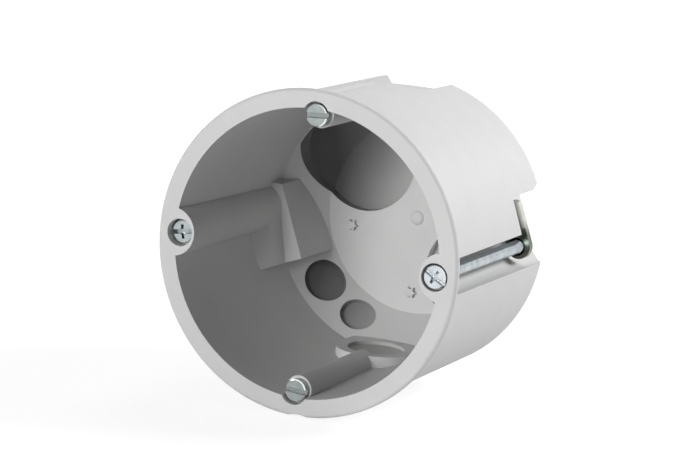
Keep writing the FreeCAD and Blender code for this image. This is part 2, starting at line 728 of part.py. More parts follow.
def claw(name, side, angle):
    """A flat steel arm with a short drawn collar behind it for the thread."""
    body = new_body(name)
    arm_sketch = body_sketch(body, name + "_outline", "XZ_Plane")
    arm_outline(arm_sketch)
    arm = body.newObject("PartDesign::Pad", name + "_arm")
    arm.Profile = arm_sketch
    arm.Reversed = True
    bind(arm, Length="Sizes.claw_thickness")
    collar = body.newObject("PartDesign::Pad", name + "_collar")
    collar.Profile = round_sketch(body, name + "_collar_outline", "Sizes.collar_radius")
    collar.Reversed = True
    bind(collar, Length="Sizes.claw_thickness + Sizes.collar_length")
    bore = body.newObject("PartDesign::Pocket", name + "_bore")
    bore.Profile = round_sketch(body, name + "_bore_outline", "Sizes.claw_hole_radius")
    bore.Type = "ThroughAll"
    bore.Midplane = True
    dress_edges(body, "Chamfer", name + "_funnel", "Sizes.bore_funnel",
                is_ring(size("claw_hole_radius"), 0.0))
    body.Placement.Rotation = FreeCAD.Rotation(Y_AXIS, -1)
    body.setExpression("Placement.Rotation.Angle", angle)
    return place(body, x=side + "Sizes.claw_screw_offset", y="Sizes.claw_face_depth")


nodes = [
    back_box,
    device_screw("device_screw_top", "", "Sizes.upper_screw_set_back",
                 "Sizes.upper_slot_angle"),
    device_screw("device_screw_bottom", "-", "Sizes.lower_screw_set_back",
                 "Sizes.lower_slot_angle"),
    claw_screw("claw_screw_right", "", "Sizes.right_screw_depth", "Sizes.right_slot_angle"),
    claw_screw("claw_screw_left", "-", "Sizes.left_screw_depth", "Sizes.left_slot_angle"),
    claw("claw_right", "", "-Sizes.claw_rest_angle"),
    claw("claw_left", "-", "180 - Sizes.claw_rest_angle"),
]

doc.recompute()

failed = [item.Name for item in doc.Objects
          if any(word in ("Invalid", "Error") for word in item.State)]
if failed:
    raise RuntimeError("objects that did not build: " + ", ".join(failed))

os.makedirs("parts", exist_ok=True)
for node in nodes:
    shape = node.Shape
    if shape.isNull() or not shape.isValid() or len(shape.Solids) != 1:
        raise RuntimeError("%s is not one valid solid" % node.Label)
    print("%-20s %9.1f mm3" % (node.Label, shape.Volume))
    shape.exportStep(os.path.join("parts", node.Label + ".step"))
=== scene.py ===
"""Looks of a round back box for hollow walls: moulded shell, steel screws and claws."""

import logging
import math
from collections.abc import Callable, Iterator
from contextlib import contextmanager
from dataclasses import dataclass, replace
from enum import Enum

import bmesh
import bpy
from mathutils import Matrix, Vector


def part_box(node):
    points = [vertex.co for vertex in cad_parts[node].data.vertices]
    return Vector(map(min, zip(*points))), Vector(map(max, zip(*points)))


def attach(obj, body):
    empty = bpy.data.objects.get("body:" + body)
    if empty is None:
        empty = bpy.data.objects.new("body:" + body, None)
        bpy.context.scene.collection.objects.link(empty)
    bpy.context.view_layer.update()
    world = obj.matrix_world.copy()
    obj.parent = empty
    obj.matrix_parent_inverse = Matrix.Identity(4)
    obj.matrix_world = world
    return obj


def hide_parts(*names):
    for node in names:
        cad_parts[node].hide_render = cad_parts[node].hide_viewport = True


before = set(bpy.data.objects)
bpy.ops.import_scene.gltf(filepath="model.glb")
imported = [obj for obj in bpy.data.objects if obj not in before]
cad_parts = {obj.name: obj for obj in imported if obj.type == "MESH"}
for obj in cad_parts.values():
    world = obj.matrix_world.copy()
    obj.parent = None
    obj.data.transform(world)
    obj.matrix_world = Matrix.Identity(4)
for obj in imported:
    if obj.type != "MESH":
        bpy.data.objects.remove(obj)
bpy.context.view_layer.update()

Colour = tuple[float, float, float, float]
Point = tuple[float, float, float]
PlaceTest = Callable[[Vector], bool]

LOG = logging.getLogger("back_box")
MM = 0.001
WELD = 0.000001  # points closer than this are one point
CUT_SNAP = 0.00000001  # how near to a cutting plane a point is moved onto it
LEAD = 0.1 * MM  # how far a cutter stands out of the face that it enters
STEEL_SHADE_ANGLE = 35.0  # edges of screws and claws below it look round
HIGHLIGHT_TILT = (0.3, 0.95)  # the part along Y of the normals of the edges with a painted highlight


class Pick(Enum):
    """What is picked while a mesh is edited."""

    POINTS = "VERT"
    EDGES = "EDGE"
    FACES = "FACE"


class Join(Enum):
    """How a second solid changes the first."""

    ADD = "UNION"
    CUT = "DIFFERENCE"
    KEEP_SHARED = "INTERSECT"


def deselect_all() -> None:
    """Leave edit mode and clear the selection."""
    if bpy.context.object and bpy.context.object.mode != "OBJECT":
        bpy.ops.object.mode_set(mode="OBJECT")
    bpy.ops.object.select_all(action="DESELECT")


def choose(piece: bpy.types.Object) -> None:
    """Make a piece the only one selected, and the active one.

    Args:
        piece: The object to select.
    """
    deselect_all()
    piece.select_set(True)
    bpy.context.view_layer.objects.active = piece


@contextmanager
def editing(piece: bpy.types.Object, pick: Pick) -> Iterator[None]:
    """Edit a piece with everything selected.

    Args:
        piece: The object to edit.
        pick: What its selection is made of.

    Yields:
        Nothing, while the piece is in edit mode.
    """
    choose(piece)
    bpy.ops.object.mode_set(mode="EDIT")
    bpy.ops.mesh.select_mode(type=pick.value)
    bpy.ops.mesh.select_all(action="SELECT")
    yield
    bpy.ops.object.mode_set(mode="OBJECT")


def select_where(piece: bpy.types.Object, kind: Pick, wanted: PlaceTest) -> None:
    """Select points or faces of the piece in edit by where they lie.

    Args:
        piece: The object in edit mode.
        kind: POINTS or FACES.
        wanted: A test of a point's place or a face's middle.
    """
    bpy.ops.mesh.select_all(action="DESELECT")
    mesh = bmesh.from_edit_mesh(piece.data)
    if kind is Pick.POINTS:
        for point in mesh.verts:
            point.select_set(wanted(point.co))
    else:
        for face in mesh.faces:
            face.select_set(wanted(face.calc_center_median()))
    mesh.select_flush_mode()
    bmesh.update_edit_mesh(piece.data)


def select_sharp(piece: bpy.types.Object, angle: float, wanted: PlaceTest) -> None:
    """Select the sharp edges of the piece in edit whose both ends pass a test.

    Args:
        piece: The object in edit mode.
        angle: The least angle in degrees between an edge's two faces.
        wanted: A test of an end's place.
    """
    bpy.ops.mesh.select_all(action="DESELECT")
    mesh = bmesh.from_edit_mesh(piece.data)
    least = math.radians(angle)
    for edge in mesh.edges:
        sharp = edge.calc_face_angle(0.0) > least
        edge.select_set(sharp and all(wanted(end.co) for end in edge.verts))
    bmesh.update_edit_mesh(piece.data)


def apply_all(piece: bpy.types.Object) -> None:
    """Apply every modifier of a piece.

    Args:
        piece: The object to finish.
    """
    choose(piece)
    for modifier in list(piece.modifiers):
        bpy.ops.object.modifier_apply(modifier=modifier.name)


def combine(piece: bpy.types.Object, tool: bpy.types.Object, how: Join) -> None:
    """Change a piece by a second solid, which is used up.

    Args:
        piece: The object to change.
        tool: The second solid.
        how: Add it, cut with it, or keep what both share.
    """
    modifier = piece.modifiers.new("combine", "BOOLEAN")
    modifier.operation = how.value
    modifier.solver = "EXACT"
    modifier.object = tool
    apply_all(piece)
    bpy.data.objects.remove(tool)


def shade(piece: bpy.types.Object, angle: float) -> None:
    """Shade a piece smoothly across edges below an angle, and keep its large faces flat.

    Args:
        piece: The object to shade.
        angle: The angle in degrees.
    """
    choose(piece)
    bpy.ops.object.shade_smooth_by_angle(angle=math.radians(angle))
    flatten = piece.modifiers.new("flatten", "WEIGHTED_NORMAL")
    flatten.keep_sharp = True
    apply_all(piece)


def keep_place() -> None:
    """Keep the place, turn and scale of the selected piece in its mesh."""
    bpy.ops.object.transform_apply(location=True, rotation=True, scale=True)


def settle(piece: bpy.types.Object, place: Point, turn: float) -> None:
    """Turn a piece about the depth axis, move it to its place and keep both in its mesh.

    Args:
        piece: The object, modelled about the origin.
        place: Where its origin goes.
        turn: The turn in degrees about +Y.
    """
    choose(piece)
    piece.location = place
    piece.rotation_euler = (0.0, math.radians(turn), 0.0)
    keep_place()


def node_of(name: str) -> bpy.types.Object:
    """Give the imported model's node of that name."""
    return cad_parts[name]


def bar(radius: float, start: float, end: float, sides: int = 64) -> bpy.types.Object:
    """Add a round bar along the depth axis.

    Args:
        radius: Its radius.
        start: Where it starts on the axis.
        end: Where it ends.
        sides: The number of its side faces.

    Returns:
        The new object.
    """
    deselect_all()
    bpy.ops.mesh.primitive_cylinder_add(
        vertices=sides, radius=radius, depth=end - start,
        location=(0.0, (start + end) / 2, 0.0), rotation=(math.radians(-90.0), 0.0, 0.0))
    made = bpy.context.object
    keep_place()
    return made


def narrow_end(piece: bpy.types.Object, depth: float, share: float) -> None:
    """Narrow the rear face of a piece.

    Args:
        piece: The object to shape.
        depth: Where its rear face lies along Y.
        share: The share of its length and width that is left there.
    """
    with editing(piece, Pick.FACES):
        select_where(piece, Pick.FACES, lambda middle: middle.y > depth - WELD)
        bpy.ops.transform.resize(value=(share, 1.0, share))


def chamfer_face(piece: bpy.types.Object, width: float, wanted: PlaceTest) -> None:
    """Cut a flat chamfer round a face of a piece.

    Args:
        piece: The object to shape.
        width: The width of the chamfer.
        wanted: A test of a face's middle.
    """
    with editing(piece, Pick.FACES):
        select_where(piece, Pick.FACES, wanted)
        bpy.ops.mesh.bevel(offset=width, segments=1, affect="EDGES")


def tapered_block(length: float, width: float, depth: float, share: float) -> bpy.types.Object:
    """Add a block that narrows with depth and starts a little before the front.

    Args:
        length: Its length along X.
        width: Its width along Z.
        depth: Its depth along Y.
        share: The share of its length and width at full depth.

    Returns:
        The new object.
    """
    deselect_all()
    bpy.ops.mesh.primitive_cube_add(size=1.0)
    made = bpy.context.object
    with editing(made, Pick.FACES):
        bpy.ops.transform.resize(value=(length, depth + LEAD, width))
        bpy.ops.transform.translate(value=(0.0, (depth - LEAD) / 2, 0.0))
    narrow_end(made, depth, share)
    return made


def grey(level: float) -> Colour:
    """Give an opaque grey."""
    return (level, level, level, 1.0)


class SurfaceGroup:
    """A shader node group for the fine surface of moulded and plated parts.

    It mottles a colour, paints shade into crevices, varies the roughness, rounds the edges and
    adds a fine grain.
    """

    NAME = "fine_surface"
    FINE_DETAIL = 3.0
    CLOUD_DETAIL = 2.0
    CLOUD_SHARE = 0.05
    NUMBERS = ("Mottle", "Scale", "Depth", "Crevice Shade", "Reach", "Rough", "Rough Spread",
               "Edge")
    CREVICE_SHADE_SAMPLES = 8
    EDGE_SAMPLES = 6

    def tree(self) -> bpy.types.NodeTree:
        """Give the group, building it on first use.

        Returns:
            The node group.
        """
        made = bpy.data.node_groups.get(self.NAME)
        return made or self._build()

    def _build(self) -> bpy.types.NodeTree:
        """Build the group.

        Returns:
            The new node group.
        """
        tree = bpy.data.node_groups.new(self.NAME, "ShaderNodeTree")
        sockets = tree.interface
        sockets.new_socket("Colour", in_out="INPUT", socket_type="NodeSocketColor")
        for name in self.NUMBERS:
            sockets.new_socket(name, in_out="INPUT", socket_type="NodeSocketFloat")
        sockets.new_socket("Tint", in_out="OUTPUT", socket_type="NodeSocketColor")
        sockets.new_socket("Roughness", in_out="OUTPUT", socket_type="NodeSocketFloat")
        sockets.new_socket("Normal", in_out="OUTPUT", socket_type="NodeSocketVector")
        nodes, link = tree.nodes, tree.links.new
        given = nodes.new("NodeGroupInput")
        result = nodes.new("NodeGroupOutput")
        place = nodes.new("ShaderNodeTexCoord")
        fine = self._noise(tree, self.FINE_DETAIL)
        cloud = self._noise(tree, self.CLOUD_DETAIL)
        cloud_scale = self._sum(tree, "MULTIPLY")
        cloud_scale.inputs[1].default_value = self.CLOUD_SHARE
        link(place.outputs["Object"], fine.inputs["Vector"])
        link(place.outputs["Object"], cloud.inputs["Vector"])
        link(given.outputs["Scale"], fine.inputs["Scale"])
        link(given.outputs["Scale"], cloud_scale.inputs[0])
        link(cloud_scale.outputs[0], cloud.inputs["Scale"])
        mottled = self._darken(tree, given.outputs["Colour"], cloud.outputs["Fac"],
                               given.outputs["Mottle"])
        # ambient occlusion darkens the colour where the surface is closed in: painted shade in
        # crevices
        open_sky = nodes.new("ShaderNodeAmbientOcclusion")
        open_sky.samples = self.CREVICE_SHADE_SAMPLES
        link(given.outputs["Reach"], open_sky.inputs["Distance"])
        crevice_shade_mask = self._sum(tree, "SUBTRACT")
        crevice_shade_mask.inputs[0].default_value = 1.0
        link(open_sky.outputs["AO"], crevice_shade_mask.inputs[1])
        tint = self._darken(tree, mottled, crevice_shade_mask.outputs[0], given.outputs["Crevice Shade"])
        link(tint, result.inputs["Tint"])
        swing = self._sum(tree, "MULTIPLY_ADD")
        link(cloud.outputs["Fac"], swing.inputs[0])
        link(given.outputs["Rough Spread"], swing.inputs[1])
        link(given.outputs["Rough"], swing.inputs[2])
        link(swing.outputs[0], result.inputs["Roughness"])
        rounding = nodes.new("ShaderNodeBevel")
        rounding.samples = self.EDGE_SAMPLES
        relief = nodes.new("ShaderNodeBump")
        relief.inputs["Strength"].default_value = 1.0
        link(given.outputs["Edge"], rounding.inputs["Radius"])
        link(rounding.outputs["Normal"], relief.inputs["Normal"])
        link(given.outputs["Depth"], relief.inputs["Distance"])
        link(fine.outputs["Fac"], relief.inputs["Height"])
        link(relief.outputs["Normal"], result.inputs["Normal"])
        return tree

    @staticmethod
    def _noise(tree: bpy.types.NodeTree, detail: float) -> bpy.types.Node:
        """Add a noise texture.

        Args:
            tree: The group.
            detail: How many finer layers the noise has.

        Returns:
            The node.
        """
        made = tree.nodes.new("ShaderNodeTexNoise")
        made.inputs["Detail"].default_value = detail
        return made

    @staticmethod
    def _sum(tree: bpy.types.NodeTree, operation: str) -> bpy.types.Node:
        """Add a math node.

        Args:
            tree: The group.
            operation: What it works out.

        Returns:
            The node.
        """
        made = tree.nodes.new("ShaderNodeMath")
        made.operation = operation
        return made

    def _darken(self, tree: bpy.types.NodeTree, colour: bpy.types.NodeSocket,
                mask: bpy.types.NodeSocket, share: bpy.types.NodeSocket
                ) -> bpy.types.NodeSocket:
        """Darken a colour by a share where a mask is high.

        Args:
            tree: The group.
            colour: The colour to start from.
            mask: Where it is darkened, from 0 to 1.
            share: How much of it is lost where the mask is 1.

        Returns:
            The darkened colour.
        """
        lost = self._sum(tree, "MULTIPLY")
        kept = self._sum(tree, "SUBTRACT")
        kept.inputs[0].default_value = 1.0
        kept.use_clamp = True
        mix = tree.nodes.new("ShaderNodeMix")
        mix.data_type = "RGBA"
        mix.blend_type = "MULTIPLY"
        mix.inputs["Factor"].default_value = 1.0
        link = tree.links.new
        link(mask, lost.inputs[0])
        link(share, lost.inputs[1])
        link(lost.outputs[0], kept.inputs[1])
        link(colour, mix.inputs["A"])
        link(kept.outputs[0], mix.inputs["B"])
        return mix.outputs["Result"]


@dataclass(frozen=True)
class Finish:
    """A surface finish built on the shared surface group."""

    name: str
    colour: Colour
    roughness: float
    rough_spread: float = 0.0
    metallic: float = 0.0
    mottle: float = 0.0
    grain_scale: float = 4000.0
    grain_depth: float = 0.01 * MM
    # how much crevices are darkened and how far that reaches: painted shade
    crevice_shade: float = 0.0
    crevice_shade_reach: float = 0.5 * MM
    edge_radius: float = 0.0
    specular: float = 0.5

    def material(self) -> bpy.types.Material:
        """Give the material of this finish, building it on first use.

        Returns:
            The material.
        """
        made = bpy.data.materials.get(self.name)
        return made or self._build()

    def _build(self) -> bpy.types.Material:
        """Build the material.

        Returns:
            The new material.
        """
        made = bpy.data.materials.new(self.name)
        made.use_nodes = True
        nodes, link = made.node_tree.nodes, made.node_tree.links.new
        shader = nodes["Principled BSDF"]
        shader.inputs["Metallic"].default_value = self.metallic
        shader.inputs["Specular IOR Level"].default_value = self.specular
        surface = nodes.new("ShaderNodeGroup")
        surface.node_tree = SurfaceGroup().tree()
        given = {"Colour": self.colour, "Mottle": self.mottle, "Scale": self.grain_scale,
                 "Depth": self.grain_depth, "Crevice Shade": self.crevice_shade,
                 "Reach": self.crevice_shade_reach, "Rough": self.roughness,
                 "Rough Spread": self.rough_spread, "Edge": self.edge_radius}
        for name, value in given.items():
            surface.inputs[name].default_value = value
        link(surface.outputs["Tint"], shader.inputs["Base Color"])
        link(surface.outputs["Roughness"], shader.inputs["Roughness"])
        link(surface.outputs["Normal"], shader.inputs["Normal"])
        return made

    def dress(self, piece: bpy.types.Object) -> None:
        """Put the finish on every slot of a piece.

        Args:
            piece: The object to dress.
        """
        if not piece.material_slots:
            piece.data.materials.append(self.material())
        for held in piece.material_slots:
            held.material = self.material()


@dataclass(frozen=True, kw_only=True)
class GradedFinish(Finish):
    """A finish whose tone changes along one axis of the object, mirrored or not, to paint
    shade and light into it.
    """

    start: float
    end: float
    end_colour: Colour
    axis: str = "X"
    mirrored: bool = False

    def _build(self) -> bpy.types.Material:
        """Build the material.

        Returns:
            The new material.
        """
        made = super()._build()
        nodes, link = made.node_tree.nodes, made.node_tree.links.new
        surface = next(node for node in nodes if node.type == "GROUP")
        place = nodes.new("ShaderNodeTexCoord")
        split = nodes.new("ShaderNodeSeparateXYZ")
        along = split.outputs[self.axis]
        if self.mirrored:
            away = nodes.new("ShaderNodeMath")
            away.operation = "ABSOLUTE"
            link(along, away.inputs[0])
            along = away.outputs[0]
        across = nodes.new("ShaderNodeMapRange")
        across.inputs["From Min"].default_value = self.start
        across.inputs["From Max"].default_value = self.end
        tone = nodes.new("ShaderNodeMix")
        tone.data_type = "RGBA"
        tone.inputs["A"].default_value = self.colour
        tone.inputs["B"].default_value = self.end_colour
        link(place.outputs["Object"], split.inputs["Vector"])
        link(along, across.inputs["Value"])
        link(across.outputs["Result"], tone.inputs["Factor"])
        link(tone.outputs["Result"], surface.inputs["Colour"])
        return made


SHELL = Finish("moulded_shell", (0.59, 0.59, 0.588, 1.0), roughness=0.50,
               rough_spread=0.08, mottle=0.05, grain_scale=3500.0, grain_depth=0.008 * MM,
               edge_radius=0.15 * MM, specular=0.3)
# the webs are darker than the shell, with painted shade that deepens towards -X; the pocket
# walls get the same kind of painted shade
WEB_PAINTED_SHADE = GradedFinish("web_painted_shade", grey(0.105), roughness=0.62, rough_spread=0.08, mottle=0.06,
                   grain_scale=3500.0, grain_depth=0.008 * MM, specular=0.3,
                   start=-21.5 * MM, end=6.0 * MM, end_colour=(0.57, 0.57, 0.565, 1.0))
WEB_WALL_PAINTED_SHADE = replace(WEB_PAINTED_SHADE, name="web_wall_painted_shade", colour=grey(0.20), end=0.0)
# zinc plating; its crevice setting paints shade into slots, recesses and the thread
ZINC = Finish("zinc_plate", (0.42, 0.465, 0.46, 1.0), roughness=0.08, rough_spread=0.08,
              metallic=1.0, mottle=0.4, grain_scale=9000.0, grain_depth=0.001 * MM,
              crevice_shade=0.75, crevice_shade_reach=1.0 * MM)
# zinc lightened and tinted blue for one claw screw: a painted reflection
ZINC_PAINTED_REFLECTION = replace(ZINC, name="zinc_plate_painted_reflection", colour=(0.53, 0.59, 0.60, 1.0),
                    crevice_shade=0.7)
# zinc lightened almost to white for one claw screw: a painted highlight
ZINC_PAINTED_HIGHLIGHT = replace(ZINC, name="zinc_plate_painted_highlight", colour=(0.78, 0.84, 0.88, 1.0),
                      mottle=0.45)
# a pale, smooth metal that paints a highlight onto edge faces picked by their tilt
EDGE_HIGHLIGHT = Finish("painted_edge_highlight", (0.92, 0.93, 0.93, 1.0), roughness=0.14, metallic=1.0,
                     grain_scale=9000.0, grain_depth=0.002 * MM)
# dark steel at the ear about the screw as painted shade, graded to pale out on the arm as a
# painted reflection
CLAW_STEEL_PAINTED_LIGHT = GradedFinish("claw_steel_painted_light", (0.17, 0.19, 0.155, 1.0), roughness=0.16,
                          rough_spread=0.12, metallic=1.0, mottle=0.3, grain_scale=6000.0,
                          grain_depth=0.004 * MM, crevice_shade=0.6, crevice_shade_reach=0.8 * MM,
                          axis="Z", mirrored=True, start=3.2 * MM, end=6.2 * MM,
                          end_colour=(0.72, 0.73, 0.68, 1.0))


def paint_edge_highlights(piece: bpy.types.Object, wanted: PlaceTest) -> None:
    """Paint a highlight on the oblique faces between the front and the sides of a piece, with
    a pale metal.

    Args:
        piece: The piece, its front towards -Y.
        wanted: A test of a face's middle.
    """
    piece.data.materials.append(EDGE_HIGHLIGHT.material())
    highlighted = len(piece.data.materials) - 1
    least, most = HIGHLIGHT_TILT
    for face in piece.data.polygons:
        if least < abs(face.normal.y) < most and wanted(face.center):
            face.material_index = highlighted


@dataclass
class Camera:
    """The camera at the photograph's viewing angle."""

    place: Point = (0.27968, -0.5847, 0.13198)
    right: Point = (0.8974, 0.4339, 0.0809)
    down: Point = (0.1555, -0.1393, -0.9780)
    forward: Point = (-0.4130, 0.8901, -0.1924)
    sensor_width: float = 36.0
    lens: float = 163.79

    def build(self) -> None:
        """Make the camera and set it as the scene's own."""
        data = bpy.data.cameras.new("photo_camera")
        data.sensor_width = self.sensor_width
        data.lens = self.lens
        made = bpy.data.objects.new("photo_camera", data)
        bpy.context.scene.collection.objects.link(made)
        turn = Matrix((self.right, -Vector(self.down), -Vector(self.forward))).transposed()
        made.matrix_world = Matrix.Translation(self.place) @ turn.to_4x4()
        bpy.context.scene.camera = made


@dataclass(frozen=True)
class Softbox:
    """One soft studio lamp that faces the box."""

    name: str
    place: Point
    watts: float
    size: float = 0.5
    aim: Point = (0.0, 0.03, 0.0)

    def build(self) -> None:
        """Make the lamp."""
        data = bpy.data.lights.new(self.name, "AREA")
        data.shape = "SQUARE"
        data.size = self.size
        data.energy = self.watts
        made = bpy.data.objects.new(self.name, data)
        bpy.context.scene.collection.objects.link(made)
        made.location = self.place
        way = Vector(self.aim) - Vector(self.place)
        made.rotation_euler = way.to_track_quat("-Z", "Y").to_euler()


@dataclass
class Studio:
    """Pale floor, white background and soft lamps.

    Out to shadow_near the floor shows floor_share of its lit face, which holds the shadow.
    That share fades into a plain white glow at shadow_far, so that no floor line shows.
    """

    floor_level: float
    floor_size: float = 6.0
    floor_colour: Colour = grey(0.65)
    floor_roughness: float = 0.9
    floor_share: float = 0.3
    shadow_near: float = 0.12
    shadow_far: float = 0.7
    floor_glow: float = 1.24
    ambient: float = 0.03
    white: Colour = grey(1.0)
    lamps: tuple[Softbox, ...] = (
        Softbox("key", (-0.239, -1.328, 0.243), watts=14.5),
        Softbox("side", (0.909, 0.793, 0.742), watts=21.0),
        Softbox("top", (0.0, 0.730, 1.212), watts=5.0),
        Softbox("fill", (-1.072, 0.030, 0.900), watts=2.5),
    )

    def build(self) -> None:
        """Make the floor, the world and the lamps."""
        self._floor()
        self._world()
        for lamp in self.lamps:
            lamp.build()
        bpy.context.scene.view_settings.view_transform = "Standard"

    @staticmethod
    def _shown_rays(tree: bpy.types.NodeTree) -> bpy.types.NodeSocket:
        """Tell the rays that show the background from those that only light things.

        Args:
            tree: The node tree of a material or the world.

        Returns:
            1 for camera, glossy and transmission rays, else 0.
        """
        rays = tree.nodes.new("ShaderNodeLightPath")
        total = rays.outputs["Is Camera Ray"]
        for name in ("Is Glossy Ray", "Is Transmission Ray"):
            add = tree.nodes.new("ShaderNodeMath")
            add.operation = "ADD"
            add.use_clamp = True
            tree.links.new(total, add.inputs[0])
            tree.links.new(rays.outputs[name], add.inputs[1])
            total = add.outputs[0]
        return total

    def _floor(self) -> None:
        """Lay the floor under the box."""
        deselect_all()
        bpy.ops.mesh.primitive_plane_add(size=self.floor_size,
                                         location=(0.0, 0.0, self.floor_level))
        floor = bpy.context.object
        floor.name = "studio_floor"
        made = bpy.data.materials.new("pale_floor")
        made.use_nodes = True
        nodes, link = made.node_tree.nodes, made.node_tree.links.new
        shader = nodes["Principled BSDF"]
        shader.inputs["Base Color"].default_value = self.floor_colour
        shader.inputs["Roughness"].default_value = self.floor_roughness
        glow = nodes.new("ShaderNodeEmission")
        glow.inputs["Color"].default_value = self.white
        glow.inputs["Strength"].default_value = self.floor_glow
        share = nodes.new("ShaderNodeMath")
        share.operation = "MULTIPLY"
        place = nodes.new("ShaderNodeTexCoord")
        reach = nodes.new("ShaderNodeVectorMath")
        reach.operation = "LENGTH"
        fade = nodes.new("ShaderNodeMapRange")
        fade.inputs["From Min"].default_value = self.shadow_near
        fade.inputs["From Max"].default_value = self.shadow_far
        fade.inputs["To Min"].default_value = 1.0 - self.floor_share
        link(place.outputs["Object"], reach.inputs[0])
        link(reach.outputs["Value"], fade.inputs["Value"])
        link(fade.outputs["Result"], share.inputs[1])
        blend = nodes.new("ShaderNodeMixShader")
        link(self._shown_rays(made.node_tree), share.inputs[0])
        link(share.outputs[0], blend.inputs["Fac"])
        link(shader.outputs["BSDF"], blend.inputs[1])
        link(glow.outputs["Emission"], blend.inputs[2])
        link(blend.outputs["Shader"], nodes["Material Output"].inputs["Surface"])
        floor.data.materials.append(made)

    def _world(self) -> None:
        """Light all round softly, with white behind the box."""
        world = bpy.data.worlds.new("studio")
        bpy.context.scene.world = world
        world.use_nodes = True
        nodes, link = world.node_tree.nodes, world.node_tree.links.new
        fill = nodes["Background"]
        fill.inputs["Color"].default_value = self.white
        fill.inputs["Strength"].default_value = self.ambient
        backdrop = nodes.new("ShaderNodeBackground")
        backdrop.inputs["Color"].default_value = self.white
        backdrop.inputs["Strength"].default_value = 1.0
        blend = nodes.new("ShaderNodeMixShader")
        link(self._shown_rays(world.node_tree), blend.inputs["Fac"])
        link(fill.outputs["Background"], blend.inputs[1])
        link(backdrop.outputs["Background"], blend.inputs[2])
        link(blend.outputs["Shader"], nodes["World Output"].inputs["Surface"])


@dataclass(frozen=True)
class RoundPocket:
    """A round knock-out pocket whose floor is a thin web.

    Its axis runs from centre along way, and its web lies between near and far on it.
    """

    centre: Vector
    way: Vector
    radius: float
    near: float
    far: float

    def holds(self, place: Vector) -> bool:
        """Tell whether a place lies in the pocket or on its web."""
        offset = place - self.centre
        depth = offset.dot(self.way)
        aside = (offset - self.way * depth).length
        return aside < self.radius and self.near < depth < self.far


